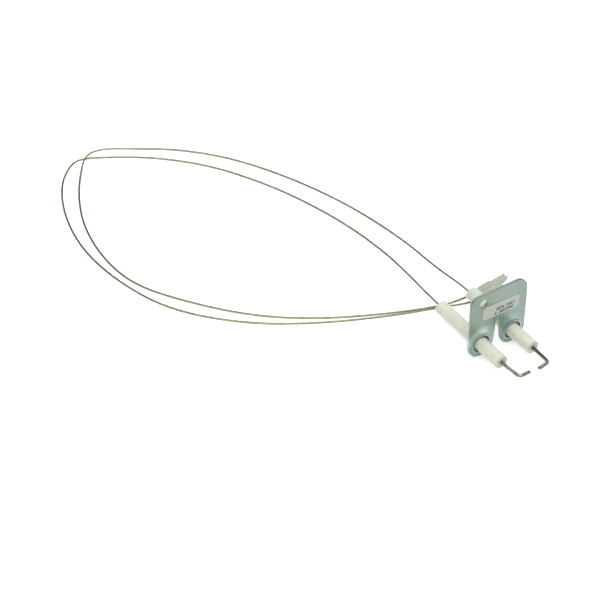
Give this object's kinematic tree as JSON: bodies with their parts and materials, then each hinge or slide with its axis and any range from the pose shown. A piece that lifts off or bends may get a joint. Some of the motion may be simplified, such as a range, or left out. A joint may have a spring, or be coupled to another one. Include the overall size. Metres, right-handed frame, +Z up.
{
  "type": "ignition electrode",
  "caption": "Twin ignition electrode for a gas boiler: ceramic tubes in a slotted zinc-plated bracket, bent spark rods facing each other, thin wire leads behind.",
  "frame": {"origin": "on the surface that the part stands on, level with the bottoms of the bracket's two lobes, midway between the insulators and midway between the electrodes' front and the insulators' rear ends", "axes": "+Z up along the bracket plate, +Y back along the insulators to where the leads leave, -Y towards the electrode tips, +X to the right seen from the electrodes' side"},
  "size_m": [0.1938, 0.3215, 0.0429],
  "materials": {
    "zinc_plate": "blue-passivated zinc on sheet steel, satin",
    "zinc_ferrule": "zinc-plated, satin",
    "label_film": "matte printed sticker",
    "insulator_ceramic": "off-white, fine unglazed bisque with a faint sheen",
    "ring_cement": "dark fireproof cement",
    "bore_cement": "grey fireproof cement",
    "electrode_alloy": "drawn heat-resistant wire, oxidised",
    "crimp_sleeve": "plain crimped steel sleeve",
    "stranded_wire": "twisted bare strands, dull",
    "tinned_sleeve": "tinned",
    "paper_tape": "creped paper adhesive tape"
  },
  "bodies": {
    "root": {"bracket_plate": "zinc_plate", "lead_tape": "paper_tape", "left_crimp_sleeve": "crimp_sleeve", "left_electrode_rod": "electrode_alloy", "left_end_sleeve": "tinned_sleeve", "left_ferrule": "zinc_ferrule", "left_front_cement": "bore_cement", "left_insulator": "insulator_ceramic", "left_lead": "stranded_wire", "left_rear_cement": "bore_cement", "left_ring_cement": "ring_cement", "rating_label": "label_film", "right_crimp_sleeve": "crimp_sleeve", "right_electrode_rod": "electrode_alloy", "right_end_sleeve": "tinned_sleeve", "right_ferrule": "zinc_ferrule", "right_front_cement": "bore_cement", "right_insulator": "insulator_ceramic", "right_lead": "stranded_wire", "right_rear_cement": "bore_cement", "right_ring_cement": "ring_cement"}
  },
  "joints": []
}
